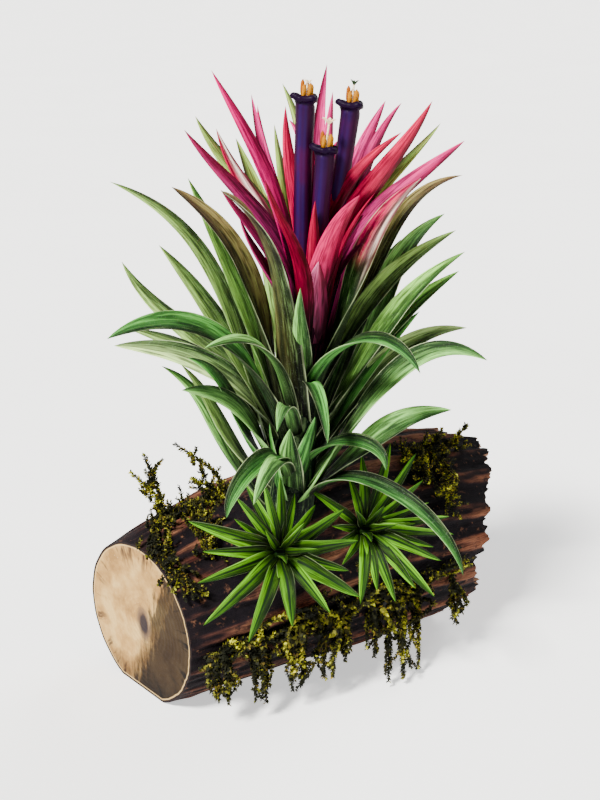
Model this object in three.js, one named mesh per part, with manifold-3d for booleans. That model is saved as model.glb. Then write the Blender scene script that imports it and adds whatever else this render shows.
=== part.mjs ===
// A sky plant in flower that grows on a short cut log, with two offsets and moss.
// Millimetres, +Z up. The log lies on the surface and the plant's front faces -Y.
// The origin is the middle of the flat strip on the log's underside.
import * as THREE from 'three';
import Module from 'manifold-3d';

const wasm = await Module();
wasm.setup();

// Driving dimensions
const GAP = 0.3; // clear space between two pieces that touch
const LOG = {
  turn: 33, // degrees that the log's far end swings back from +X
  near: 51, // from the origin to the sawn end
  far: 50, // from the origin to the shortest fibres of the broken end
  nearRadius: 24,
  middleRadius: 30,
  farRadius: 28,
  flat: 2.2, // how much the underside is worn flat
  ridges: 17,
  ridgeHeight: 1.1,
  sawAngle: -9, // degrees that the sawn face is out of square
  splinter: 16, // how much further the top of the broken end reaches
};
const PLANT = {
  foot: [-0.5, -17, 50], // where the stem stands on the log
  lean: 6.5, // degrees to the right
  footRadius: 7,
  greenTop: 40, // height of the green part of the stem
  heartTop: 52.5, // height of the stem's end, under the flowers
  heartRadius: 4.6,
};
const BLADE = { root: 1.2, tip: 0.7, channel: 0.24, turnToLight: 48 };
const ROOT_WIDTH = { green: 0.85, pink: 0.65, offset: 0.55 }; // a leaf's width at its root, as a share
const TUBE = { foot: 1.6, waist: 2.3, mouth: 2.5, lip: 3.9, bore: 1.7, boreDepth: 7 };

// Leaves of the main plant, from what grows on it. Columns: the leaf's turn round the stem in degrees
// (0 right, 90 back, 180 left, 270 front), height of its root, reach and rise of its tip from the foot,
// slope at the root and at the tip in degrees, and its width.
const GREEN_LEAVES = [
  [176, 8, 56.5, 88, 70, 15, 6],
  [201, 22, 41.5, 92, 70, 30, 11],
  [180, 16, 36, 92, 75, 60, 8],
  [231, 25, 41, 95.5, 70, 25, 12.5],
  [163, 11, 56, 64, 75, 55, 7],
  [182, 18, 42, 74, 60, 45, 7.5],
  [216, 18, 61, 58, 70, -25, 9],
  [181, 20, 52, 45, 55, -5, 8.5],
  [169, 15, 51, 47, 60, 5, 6],
  [238, 25, 49, 60, 70, -5, 5.5],
  [203, 11, 34, 48, 40, 20, 7],
  [174, 0, 39.5, 39, 40, 20, 5],
  [211, 10, 37, 41, 60, 5, 8.5],
  [193, 6, 34, 44, 40, 45, 5.5],
  [243, 13, 37, 13, 70, -95, 6],
  [255, 10, 40, 20, 60, -40, 5.5],
  [258, 24, 22, 72, 95, 80, 6],
  [279, 30, 38, 38, 110, -40, 4.5],
  [259, 24, 34, 38, 45, -80, 5],
  [303, 24, 47, 59, 95, -35, 6.5],
  [344, 5, 48, 56, 65, -20, 8.5],
  [7, 12, 43, 59, 65, 5, 7],
  [343, 5, 41, 41, 50, 15, 9],
  [13, 22, 33, 89, 55, 35, 8.5],
  [3, 27, 35, 86, 75, 35, 7],
  [353, 18, 37.5, 82, 65, 40, 7.5],
  [17, 24, 41, 73, 60, 35, 6.5],
  [26, 29, 41, 98, 65, 10, 5.5],
  [329, 4, 54.5, 1, 70, -70, 5],
  [316, 12, 32, 26, 85, -85, 5.5],
  [342, 32, 24, 100, 70, 50, 12],
  [255, -6, 10, 30, 95, 92, 10],
  [292, -6, 10, 34, 95, 88, 9.5],
  [222, -6, 11, 30, 92, 80, 9],
  [325, -5, 13, 26, 90, 70, 8],
  [28, 12, 25, 80, 80, 58, 8.5],
  [12, 8, 30, 62, 75, 50, 6],
];
const PINK_LEAVES = [
  [172, 48, 33, 119, 85, 55, 5.5],
  [143, 45, 28, 113, 80, 70, 4.5],
  [136, 50, 28.5, 110, 80, 75, 4.5],
  [150, 50, 15, 112, 95, 85, 5.5],
  [96, 48, 28.5, 122, 80, 115, 5],
  [91, 49, 29, 115, 85, 85, 5],
  [65, 47, 34, 114, 90, 40, 6],
  [58, 44, 35.5, 114, 75, 30, 4.5],
  [28, 50, 28.5, 117, 100, 65, 6.5],
  [352, 47, 17, 110, 105, 45, 6.5],
  [6, 46, 34, 109, 95, 45, 7],
  [327, 48, 14, 95, 90, 60, 4],
  [285, 46, 26, 97, 95, 35, 8],
  [250, 49, 9, 91.5, 95, 85, 5.5],
  [242, 46, 34, 99, 90, 55, 7],
  [190, 44, 38, 105, 95, 50, 6.5],
  [202, 45, 29, 92, 85, 50, 6],
  [215, 44, 26, 86, 80, 65, 8],
  [162, 51, 32, 104, 85, 65, 5.5],
  [159, 50, 39, 106, 90, 55, 6],
  [145, 49, 31, 101, 70, 55, 5.5],
  [110, 50, 42.5, 114.5, 95, 25, 4],
  [116, 49, 35.5, 104, 70, 60, 4],
  [33, 47, 34.5, 111, 100, 50, 4.5],
  [268, 43, 8, 76, 98, 90, 8.5],
  [166, 44, 22, 88, 90, 62, 6.5],
];

// The two offsets: place on the log, way they face, and their outer leaves as turn, reach and width.
const OFFSETS = {
  front_offset: {
    foot: [-3.1, -29.2, 43.9],
    faces: [0.15, -0.82, 0.55],
    leaves: [
      [164, 26.5, 5.2], [182, 21.5, 4.2], [202, 24.5, 4.4], [224, 29, 4.8], [250, 26, 4.6],
      [278, 20.5, 4.6], [330, 24.5, 5.2], [344, 19, 4.2], [8, 21, 5.4], [34, 20.5, 4.8],
      [148, 15.5, 3], [132, 19, 3], [120, 20.5, 3], [106, 19.5, 2.8], [92, 20, 3],
      [78, 16, 2.8], [170, 16.5, 3.4], [226, 20, 3.4], [308, 21, 3.8], [54, 15.5, 3.6],
    ],
  },
  right_offset: {
    foot: [20.7, -17.5, 45.1],
    faces: [0.12, -0.82, 0.56],
    leaves: [
      [148, 19.5, 3.2], [94, 20.5, 3.4], [74, 25, 3.6], [56, 25.5, 3.4], [8, 23.5, 3.8],
      [356, 24.5, 3.8], [344, 19.5, 3.4], [336, 22.5, 3.8], [314, 26.5, 3.8], [308, 21.5, 3.4],
      [290, 22, 3.4], [264, 21.5, 3.6], [236, 13, 2.8], [180, 10, 2.8], [110, 15, 2.8],
      [40, 21, 2.8], [22, 19, 3], [208, 11, 2.8], [4, 15, 3], [278, 18, 3.2],
    ],
  },
};

// The three flowers: foot beside the stem's axis, mouth beside the axis at its height, pistil's length.
const FLOWERS = [
  { foot: [-2.8, 1], mouth: [-8.1, 1.2], height: 115.6, pistil: 3 },
  { foot: [2.3, 1.7], mouth: [3.6, 2.2], height: 115.2, pistil: 4.5 },
  { foot: [0.2, -2.7], mouth: [-1.8, -4.6], height: 104.3, pistil: 6 },
];

// Hanging strands of moss: place along the log, how far they swing out, and height of their ends
const HANGING_MOSS = [
  [-42, 3, 10.6], [-39, 4, 9.8], [-31, 4, 7.4], [-28, 4, 5.8], [-20, 4, 7.4], [-17, 4, 8.2],
  [-10, 5, 9], [-7, 5, 9], [-3, 5, 12.2], [7, 5, 10.4], [12, 8, 2.6], [17, 9, 2.4],
  [23, 7, 2.4], [37, 4, 11.4],
];

const radians = (degrees) => (degrees * Math.PI) / 180;
const vec = (x, y, z) => new THREE.Vector3(x, y, z);
const mix = (a, b, t) => a + (b - a) * t;
const ease = (t) => Math.min(1, Math.max(0, t)) ** 2 * (3 - 2 * Math.min(1, Math.max(0, t)));

// A seeded row of random numbers from 0 to 1
function dice(seed) {
  let state = seed;
  return () => {
    state = (Math.imul(state, 1664525) + 1013904223) >>> 0;
    return state / 4294967296;
  };
}

// A closed solid from rings of points. A ring of one point ends in a tip, and any other end is capped.
// Odd sides are split the other way, so that the two faces of a blade fold alike.
function skin(rings) {
  const points = rings.flat();
  const first = [];
  rings.reduce((sum, ring) => (first.push(sum), sum + ring.length), 0);
  const faces = [];
  const at = (i, j) => first[i] + (j % rings[i].length);
  for (let i = 0; i + 1 < rings.length; i++) {
    const count = Math.max(rings[i].length, rings[i + 1].length);
    for (let j = 0; j < count; j++) {
      const [a, b, c, d] = [at(i, j), at(i, j + 1), at(i + 1, j + 1), at(i + 1, j)];
      if (rings[i + 1].length === 1) faces.push([a, b, d]);
      else if (rings[i].length === 1) faces.push([a, c, d]);
      else if (j % 2) faces.push([a, b, d], [b, c, d]);
      else faces.push([a, b, c], [a, c, d]);
    }
  }
  for (const [i, order] of [[0, 1], [rings.length - 1, -1]]) {
    const ring = rings[i];
    if (ring.length === 1) continue;
    const centre = ring.reduce((sum, p) => sum.add(p), vec(0, 0, 0)).divideScalar(ring.length);
    points.push(centre);
    for (let j = 0; j < ring.length; j++) {
      const pair = order > 0 ? [at(i, j + 1), at(i, j)] : [at(i, j), at(i, j + 1)];
      faces.push([points.length - 1, ...pair]);
    }
  }
  return solid(points, faces);
}

// A solid from points and triangles, turned so that its faces point out
function solid(points, faces) {
  const volume = faces.reduce(
    (sum, [a, b, c]) => sum + points[a].dot(vec(0, 0, 0).crossVectors(points[b], points[c])), 0);
  const turned = volume < 0 ? faces.map(([a, b, c]) => [a, c, b]) : faces;
  return new wasm.Manifold(new wasm.Mesh({
    numProp: 3,
    vertProperties: new Float32Array(points.flatMap((p) => p.toArray())),
    triVerts: new Uint32Array(turned.flat()),
  }));
}

const join = (solids) => solids.reduce((whole, piece) => whole.add(piece));
const cut = (whole, tools) => tools.reduce((rest, tool) => rest.subtract(tool), whole);

// The log's round section and its bark. The angle runs from the back, over the top, to the front.
const along = vec(Math.cos(radians(LOG.turn)), Math.sin(radians(LOG.turn)), 0);
const across = vec(-Math.sin(radians(LOG.turn)), Math.cos(radians(LOG.turn)), 0);

function logRadius(s) {
  const t = (s + LOG.near) / (LOG.near + LOG.far + LOG.splinter);
  return LOG.nearRadius * (1 - t) * (1 - 2 * t) + LOG.middleRadius * 4 * t * (1 - t)
    + LOG.farRadius * t * (2 * t - 1);
}

function logPoint(s, angle, lift = 0) {
  const radius = logRadius(s) + lift;
  const p = along.clone().multiplyScalar(s).addScaledVector(across, radius * Math.cos(angle));
  p.z = logRadius(s) - LOG.flat + radius * Math.sin(angle);
  return p;
}

function bark(s, angle) {
  const wander = 0.9 * Math.sin(s / 19) + 0.7 * Math.sin(2 * angle + 1);
  const depth = LOG.ridgeHeight * mix(0.12, 1, ease((s + LOG.near) / 20));
  return depth * (0.55 * Math.sin(LOG.ridges * angle + wander) - 0.2 + 0.35 * Math.sin(3 * angle + s / 12));
}

function buildLog(grow = 0) {
  const sides = LOG.ridges * 4;
  const steps = 9;
  const roll = dice(7);
  const splinters = Array.from({ length: LOG.ridges * 2 }, () => roll());
  const rings = [];
  for (let i = 0; i <= steps; i++) {
    const ring = [];
    for (let j = 0; j < sides; j++) {
      const angle = (2 * Math.PI * j) / sides;
      const nearEnd = -LOG.near - grow
        + Math.tan(radians(LOG.sawAngle)) * LOG.nearRadius * Math.cos(angle);
      const farEnd = LOG.far + grow + LOG.splinter * ease(Math.sin(angle)) ** 1.5
        + 8 * (splinters[Math.floor(j / 2)] - 0.6);
      const s = mix(nearEnd, farEnd, i / steps);
      const p = logPoint(s, angle, bark(s, angle) + grow);
      p.z = Math.max(p.z, 0);
      ring.push(p);
    }
    rings.push(ring);
  }
  const core = rings[steps].map((p, j) => {
    const angle = (2 * Math.PI * j) / sides;
    const s = LOG.far + grow + 2 + 3 * Math.sin(angle) + 3 * (splinters[(j * 5) % splinters.length] - 0.5);
    return logPoint(s, angle, -0.4 * LOG.farRadius);
  });
  return skin([...rings, core]);
}

// A stem is a foot and three directions: up along it, right, and back.
function stem(foot, up, right) {
  const axis = up.clone().normalize();
  const side = right.clone().addScaledVector(axis, -right.dot(axis)).normalize();
  return { foot, up: axis, right: side, back: axis.clone().cross(side) };
}

function onStem({ foot, up, right, back }, x, y, height) {
  return foot.clone().addScaledVector(right, x).addScaledVector(back, y).addScaledVector(up, height);
}

// A channelled, pointed leaf. Its midrib is a curve in the upright plane at its turn round the stem.
function leaf(axes, [turn, root, reach, rise, slope, tipSlope, width], start, rootWidth, grow, stations) {
  const from = new THREE.Vector2(start, root);
  const to = new THREE.Vector2(reach, rise);
  const length = from.distanceTo(to);
  const handle = (size, degrees) =>
    new THREE.Vector2(Math.cos(radians(degrees)), Math.sin(radians(degrees))).multiplyScalar(size);
  const midrib = new THREE.CubicBezierCurve(
    from, from.clone().add(handle(0.52 * length, slope)),
    to.clone().sub(handle(0.34 * length, tipSlope)), to);
  const angle = radians(turn);
  const out = axes.right.clone().multiplyScalar(Math.cos(angle)).addScaledVector(axes.back, Math.sin(angle));
  const side = axes.up.clone().cross(out);
  const rings = [];
  for (let i = 0; i <= stations; i++) {
    const t = i / stations;
    const p = midrib.getPoint(t);
    const tangent = midrib.getTangent(t);
    const centre = axes.foot.clone().addScaledVector(out, p.x).addScaledVector(axes.up, p.y);
    const forward = out.clone().multiplyScalar(tangent.x).addScaledVector(axes.up, tangent.y);
    if (i === stations) {
      rings.push([centre.addScaledVector(forward, grow)]);
      continue;
    }
    const twist = radians(-BLADE.turnToLight * Math.cos(angle) * ease(1.6 * t));
    const upper = out.clone().multiplyScalar(-tangent.y).addScaledVector(axes.up, tangent.x);
    const face = upper.clone().multiplyScalar(Math.cos(twist)).addScaledVector(side, Math.sin(twist));
    const edge = side.clone().multiplyScalar(Math.cos(twist)).addScaledVector(upper, -Math.sin(twist));
    const halfWidth = (width / 2) * mix(rootWidth, 1, ease(t / 0.4)) * (1 - t ** 3.2) ** 0.85;
    const halfThickness = mix(BLADE.root, BLADE.tip, t) / 2 + grow;
    const channel = 2 * BLADE.channel * halfWidth * (1 - 0.4 * t);
    const place = (w, n) => centre.clone().addScaledVector(edge, w).addScaledVector(face, n);
    if (grow) {
      rings.push([place(-halfWidth, channel + grow), place(0, halfThickness),
        place(halfWidth, channel + grow), place(halfWidth + grow, channel),
        place(halfWidth, channel - grow), place(0, -halfThickness),
        place(-halfWidth, channel - grow), place(-halfWidth - grow, channel)]);
    } else {
      rings.push([place(-halfWidth, channel), place(0, halfThickness), place(halfWidth, channel),
        place(0, -halfThickness)]);
    }
  }
  return skin(rings);
}

// A round stem or tube along its axes: rows of radius, height and, if it bends, x and y.
function turned(axes, rows, sides = 8, shape = () => 1) {
  return skin(rows.map(([radius, height, x = 0, y = 0]) => {
    const ring = [];
    for (let j = 0; j < sides; j++) {
      const a = (2 * Math.PI * j) / sides;
      const r = radius * shape(a, height);
      ring.push(onStem(axes, x + r * Math.cos(a), y + r * Math.sin(a), height));
    }
    return ring;
  }));
}

const plantAxes = stem(vec(...PLANT.foot),
  vec(Math.sin(radians(PLANT.lean)), 0, Math.cos(radians(PLANT.lean))), vec(1, 0, 0));
const rootRadius = (height) => 6.5 - 0.08 * height;

// Leaves at the back of the stem, set by rule: each turns on by the golden angle within the back half.
function backLeaves(count, seed, low, high, size) {
  const roll = dice(seed);
  return Array.from({ length: count }, (_, i) => {
    const t = (i + 0.5) / count;
    const turn = 44 + ((i * 137.5) % 96);
    const steep = mix(60, 82, t);
    return [turn, mix(low.root, high.root, t), mix(low.reach, high.reach, t) + 6 * (roll() - 0.5),
      mix(low.rise, high.rise, t) + 8 * (roll() - 0.5), steep, steep - mix(65, 30, t) + 20 * (roll() - 0.5),
      size * mix(0.8, 1.1, roll())];
  });
}

function buildRosette(grow = 0) {
  const rows = [...GREEN_LEAVES,
    ...backLeaves(8, 11, { root: 6, reach: 46, rise: 34 }, { root: 32, reach: 34, rise: 92 }, 8)];
  const core = turned(plantAxes, [
    [PLANT.footRadius + grow, -12], [PLANT.footRadius + grow, 6], [5.9 + grow, 26],
    [PLANT.heartRadius + grow, PLANT.greenTop + grow]]);
  const leaves = rows.map((row) => {
    const [, root, , , , , width] = row;
    return leaf(plantAxes, row, rootRadius(root) - 2, ROOT_WIDTH.green, grow, width > 9.5 ? 6 : 5);
  });
  return join([core, ...leaves]);
}

function buildHeart() {
  const rows = [...PINK_LEAVES,
    ...backLeaves(4, 23, { root: 44, reach: 30, rise: 92 }, { root: 49, reach: 16, rise: 112 }, 6)];
  const core = turned(plantAxes, [[PLANT.heartRadius, PLANT.greenTop + GAP],
    [PLANT.heartRadius + 0.4, PLANT.heartTop]]);
  return join([core, ...rows.map((row) =>
    leaf(plantAxes, row, 4.2, ROOT_WIDTH.pink, 0, row[6] > 4.9 ? 5 : 4))]);
}

// A violet tube that widens to a rolled lip of three petals, with a blind bore for the stamens
function buildTube(flower, grow = 0) {
  const foot = PLANT.heartTop + GAP - grow;
  const bend = (height) => {
    const t = ease((height - foot) / (flower.height - foot)) * 0.5
      + ((height - foot) / (flower.height - foot)) * 0.5;
    return [mix(flower.foot[0], flower.mouth[0], t), mix(flower.foot[1], flower.mouth[1], t)];
  };
  const mouth = flower.height;
  const rows = [[TUBE.foot, foot], [TUBE.waist, mix(foot, mouth, 0.35)], [TUBE.waist, mix(foot, mouth, 0.7)],
    [TUBE.mouth, mouth - 3], [TUBE.lip, mouth - 0.8], [TUBE.lip - 0.3, mouth + 0.5 + grow]];
  const bore = grow ? [] : [[TUBE.bore + 0.4, mouth], [TUBE.bore, mouth - TUBE.boreDepth]];
  const lobes = (a, height) => (height > mouth - 2 && height !== mouth ? 0.85 - 0.2 * Math.cos(3 * a) : 1);
  return turned(plantAxes, [...rows.map(([r, h]) => [r + grow, h, ...bend(h)]),
    ...bore.map(([r, h]) => [r, h, ...bend(h)])], 9, lobes);
}

// The stamens stand on a short column in the tube, with their anthers and the pistil above the mouth.
function buildStamens(flower) {
  const [x, y] = flower.mouth;
  const low = flower.height - TUBE.boreDepth + GAP;
  const lean = 0.12;
  const column = turned(plantAxes, [[1, low, x + lean * 5, y], [1.15, flower.height + 0.4, x, y]], 5);
  const anthers = Array.from({ length: 4 }, (_, i) => {
    const a = (2 * Math.PI * i) / 4;
    const [dx, dy] = [Math.cos(a), Math.sin(a)];
    const at = (r, h, spread) => [r, flower.height + h, x + dx * spread, y + dy * spread];
    return turned(plantAxes, [at(0.45, -1, 0.6), at(0.9, 0.8, 1.2), at(0.35, 2.2 + 0.8 * (i % 2), 1.5)], 3);
  });
  const pistil = turned(plantAxes, [[0.45, flower.height - 2, x, y],
    [0.4, flower.height + flower.pistil, x, y], [0.8, flower.height + flower.pistil + 0.8, x, y],
    [0.3, flower.height + flower.pistil + 1.4, x, y]], 4);
  return join([column, ...anthers, pistil]);
}

function buildOffset({ foot, faces, leaves }, seed, grow = 0) {
  const axes = stem(vec(...foot), vec(...faces), vec(1, 0, 0));
  const roll = dice(seed);
  const outer = leaves.map(([turn, reach, width]) => [turn, 1 + roll(), reach, 9, 62, -8, width]);
  const inner = Array.from({ length: 4 }, (_, i) =>
    [i * 137.5, 2.5, 4 + 5 * roll(), 12 + 3 * roll(), 80, 40, 2.6]);
  const core = turned(axes, [[3 + grow, -6], [3 + grow, 1], [1.2 + grow, 5 + grow]], 7);
  return join([core, ...[...outer, ...inner].map((row) =>
    leaf(axes, row, 1.2, ROOT_WIDTH.offset, grow, row[6] > 3.1 ? 4 : 3))]);
}

// Moss: a strand is a thin three-sided stem along a path. Every other ring is drawn out and forward into
// two small pointed leaves, turned on from pair to pair.
function mossStrand(points, roll, leafLength = 2.6, radius = 0.6) {
  const path = new THREE.CatmullRomCurve3(points);
  const pairs = Math.round(path.getLength() / 4.4);
  const steps = 2 * pairs;
  const frames = path.computeFrenetFrames(steps, false);
  const rings = [];
  for (let i = 0; i <= steps; i++) {
    const bare = i % 2 === 0;
    rings.push([0, 1, 2].map((j) => {
      const a = (2 * Math.PI * j) / 3 + 0.6 * i;
      const drawn = !bare && j !== ((i - 1) / 2) % 3;
      const r = drawn ? leafLength * mix(0.75, 1.2, roll()) : radius;
      return path.getPointAt(i / steps)
        .addScaledVector(frames.normals[i], r * Math.cos(a))
        .addScaledVector(frames.binormals[i], r * Math.sin(a))
        .addScaledVector(frames.tangents[i], drawn ? 0.5 * leafLength : 0);
    }));
  }
  return skin(rings);
}

// A creeping strand over the bark, through places given as distance along the log and angle round it
function creeping(stops, roll, lift = 1.8) {
  return mossStrand(stops.map(([s, angle]) => logPoint(s, radians(angle), lift)), roll);
}

// A strand that leaves the bark's front, swings out so far and hangs down to a height
function hanging([s, out, low], roll) {
  const root = logPoint(s, radians(184), 1.8);
  const bulge = logPoint(s + 1, radians(198), 4);
  const middle = bulge.clone().add(vec(0, -0.6 * out, 0)).setZ(mix(bulge.z, low, 0.5));
  const end = bulge.clone().add(vec(0, -out, 0)).setZ(low);
  return mossStrand([root, bulge, middle, end], roll, 3, 0.7);
}

// A strand that stands up from the bark
function standing(s, angle, height, tilt, roll) {
  const root = logPoint(s, radians(angle), 1.8);
  const middle = root.clone().add(vec(tilt * 0.2, 0, 0.5 * height));
  const tip = root.clone().add(vec(tilt, -1, height));
  return mossStrand([root, middle, tip], roll);
}

function buildMoss() {
  const roll = dice(41);
  const front = [-42, -33, -24, -15, -6, 3, 12, 21, 30, 42].map((s) => [s, 184]);
  return {
    moss_front: join([creeping(front, roll), creeping([[3, 184], [4, 172], [6, 162]], roll),
      ...HANGING_MOSS.map((row) => hanging(row, roll))]),
    moss_left: join([creeping([[-43, 84], [-34, 86], [-24, 95]], roll),
      creeping([[-43, 84], [-48, 109], [-47, 128], [-44, 146]], roll),
      creeping([[-34, 86], [-34, 110], [-36, 129]], roll), standing(-41, 84, 20, -4, roll),
      standing(-41, 84, 15, -8, roll), standing(-24, 95, 17, -13, roll), standing(-25, 95, 7, -8, roll)]),
    moss_right: join([creeping([[36, 112], [45, 112], [54, 110]], roll),
      creeping([[45, 112], [45, 128], [40, 146]], roll), creeping([[36, 112], [36, 121], [36, 131]], roll),
      standing(45, 112, 8, 2, roll), standing(54, 110, 8, 4, roll)]),
  };
}

// The biggest connected body of a solid, as a geometry: cutting leaves loose scraps, which are dropped.
function largestBody(whole) {
  const { vertProperties: xyz, triVerts: tris, numProp } = whole.getMesh();
  const parent = Array.from({ length: xyz.length / numProp }, (_, i) => i);
  const find = (i) => {
    while (parent[i] !== i) i = parent[i] = parent[parent[i]];
    return i;
  };
  for (let t = 0; t < tris.length; t += 3) {
    parent[find(tris[t])] = find(tris[t + 1]);
    parent[find(tris[t + 1])] = find(tris[t + 2]);
  }
  const volumes = new Map();
  const corner = (i) => vec(xyz[numProp * i], xyz[numProp * i + 1], xyz[numProp * i + 2]);
  for (let t = 0; t < tris.length; t += 3) {
    const [a, b, c] = [corner(tris[t]), corner(tris[t + 1]), corner(tris[t + 2])];
    const body = find(tris[t]);
    volumes.set(body, (volumes.get(body) ?? 0) + a.dot(b.cross(c)));
  }
  const largest = [...volumes].sort((a, b) => b[1] - a[1])[0][0];
  const kept = [];
  for (let t = 0; t < tris.length; t += 3) {
    if (find(tris[t]) === largest) kept.push(tris[t], tris[t + 1], tris[t + 2]);
  }
  const used = [...new Set(kept)].sort((a, b) => a - b);
  const renamed = new Map(used.map((old, i) => [old, i]));
  const geometry = new THREE.BufferGeometry();
  geometry.setAttribute('position', new THREE.Float32BufferAttribute(
    used.flatMap((i) => [xyz[numProp * i], xyz[numProp * i + 1], xyz[numProp * i + 2]]), 3));
  geometry.setIndex(kept.map((i) => renamed.get(i)));
  return geometry;
}

const COLOURS = {
  bark: { color: 0x5a3a2c, roughness: 0.9 },
  green: { color: 0x4c7a3a, roughness: 0.5 },
  pink: { color: 0xdc4a72, roughness: 0.45 },
  violet: { color: 0x35194f, roughness: 0.5 },
  yellow: { color: 0xe6b432, roughness: 0.7 },
  bright: { color: 0x5f9a2c, roughness: 0.5 },
  moss: { color: 0x8c8c32, roughness: 0.95 },
};

const plant = new THREE.Group();

function addPiece(name, whole, colour) {
  const material = new THREE.MeshStandardMaterial({ ...COLOURS[colour], metalness: 0 });
  const mesh = new THREE.Mesh(largestBody(whole), material);
  mesh.name = name;
  plant.add(mesh);
}

const grownLog = buildLog(GAP);
const grownRosette = buildRosette(GAP);
const grownTubes = FLOWERS.map((flower) => buildTube(flower, GAP));
addPiece('log', buildLog(), 'bark');
addPiece('green_rosette', cut(buildRosette(), [grownLog]), 'green');
addPiece('pink_heart', cut(buildHeart(), [grownRosette, ...grownTubes]), 'pink');
FLOWERS.forEach((flower, i) => {
  addPiece(`flower_${i + 1}`, buildTube(flower), 'violet');
  addPiece(`stamens_${i + 1}`, buildStamens(flower), 'yellow');
});

const around = [grownLog, grownRosette];
Object.entries(OFFSETS).forEach(([name, offset], i) => {
  addPiece(name, cut(buildOffset(offset, 60 + i), around), 'bright');
  around.push(buildOffset(offset, 60 + i, GAP));
});
for (const [name, moss] of Object.entries(buildMoss())) {
  addPiece(name, cut(moss, around), 'moss');
}

export default plant;
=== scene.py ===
"""The looks of a sky plant in flower on a mossy log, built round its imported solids.

Lengths are in millimetres, as in the part's source, and turn into metres where a mesh is made.
The camera stands in front of the plant and looks along +Y, a little down.
"""

from math import cos, pi, radians, sin, tan

import bpy
import numpy as np
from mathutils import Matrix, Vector, noise


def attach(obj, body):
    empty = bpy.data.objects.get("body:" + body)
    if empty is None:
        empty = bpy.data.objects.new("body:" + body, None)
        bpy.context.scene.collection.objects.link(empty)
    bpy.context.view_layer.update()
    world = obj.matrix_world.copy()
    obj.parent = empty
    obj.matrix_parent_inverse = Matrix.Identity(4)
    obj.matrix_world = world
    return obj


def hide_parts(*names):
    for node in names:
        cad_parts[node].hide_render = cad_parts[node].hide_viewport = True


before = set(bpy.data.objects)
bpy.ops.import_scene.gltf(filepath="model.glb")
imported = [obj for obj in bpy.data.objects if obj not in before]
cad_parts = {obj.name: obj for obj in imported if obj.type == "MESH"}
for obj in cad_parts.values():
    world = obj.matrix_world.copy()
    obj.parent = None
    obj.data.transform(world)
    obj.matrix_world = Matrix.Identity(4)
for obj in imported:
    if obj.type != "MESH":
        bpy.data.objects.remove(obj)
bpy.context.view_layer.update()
MM = 0.001

# The camera: where it looks, from how far, and how steeply
LOOK_AT = (3, -4, 80)
DISTANCE = 343
ELEVATION = 20
LENS = 54

# The solids' driving dimensions
LOG = dict(turn=33, near=51, far=50, near_radius=24, middle_radius=30, far_radius=28, flat=2.2,
           ridges=17, ridge_height=1.1, saw_angle=-9, splinter=16)
PLANT = dict(foot=(-0.5, -17, 50), lean=6.5, foot_radius=7, waist_radius=5.9, green_top=40,
             heart_top=52.5, heart_radius=4.6)
PITH = (-2.5, 0.5)    # the log's heart on the sawn face, across and up from the face's middle
CHANNEL = 0.24        # how deep a leaf is folded, as a share of its width
TURN_TO_LIGHT = 48    # degrees that a leaf to the side twists on its way out
HALF_THICKNESS = (0.5, 0.24)  # of a leaf, at its root and at its tip
ROOT_WIDTH = dict(green=0.85, pink=0.65, offset=0.55)  # at a leaf's root, as a share of its width
GAP = 0.3
PLACE_UNIT = 12       # millimetres along a leaf or a tube for one unit of its place

# Colours from 0 to 255: at a leaf's root (mostly dark, as painted shade), at its middle, at its tip,
# and where the light catches it, a painted highlight (for white_tip and cream, their own pale streak)
FINISHES = {
    "green": ((1, 8, 7), (10, 72, 24), (46, 122, 48), (166, 238, 124)),
    "fresh": ((2, 10, 5), (14, 88, 24), (50, 134, 44), (172, 240, 106)),
    "dark": ((1, 6, 8), (4, 38, 20), (12, 66, 30), (96, 176, 76)),
    "pale": ((3, 12, 8), (50, 104, 48), (124, 162, 96), (214, 246, 154)),
    "olive": ((3, 9, 5), (30, 80, 28), (76, 116, 48), (180, 220, 116)),
    "shaded": ((2, 8, 6), (5, 42, 16), (15, 60, 22), (66, 130, 50)),
    "brown": ((3, 9, 5), (34, 72, 28), (110, 12, 44), (164, 150, 88)),
    "white_tip": ((2, 9, 5), (44, 90, 22), (246, 0, 104), (255, 226, 214)),
    "offset": ((1, 7, 3), (4, 46, 10), (36, 98, 18), (106, 172, 16)),
    "pink": ((40, 0, 44), (172, 0, 78), (206, 0, 86), (255, 8, 140)),
    "rose": ((34, 2, 44), (142, 14, 84), (192, 4, 84), (255, 70, 160)),
    "red": ((66, 0, 42), (176, 0, 50), (164, 0, 34), (255, 0, 100)),
    "coral": ((255, 130, 190), (216, 0, 70), (176, 0, 36), (255, 44, 130)),
    "purple": ((14, 0, 20), (76, 2, 54), (180, 0, 60), (180, 50, 120)),
    "cream": ((54, 4, 42), (190, 30, 84), (190, 0, 66), (255, 244, 222)),
    "blush": ((255, 150, 200), (255, 90, 160), (216, 0, 70), (255, 150, 200)),
    "leafy": ((30, 12, 20), (50, 110, 30), (84, 130, 44), (176, 228, 104)),
}

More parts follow.
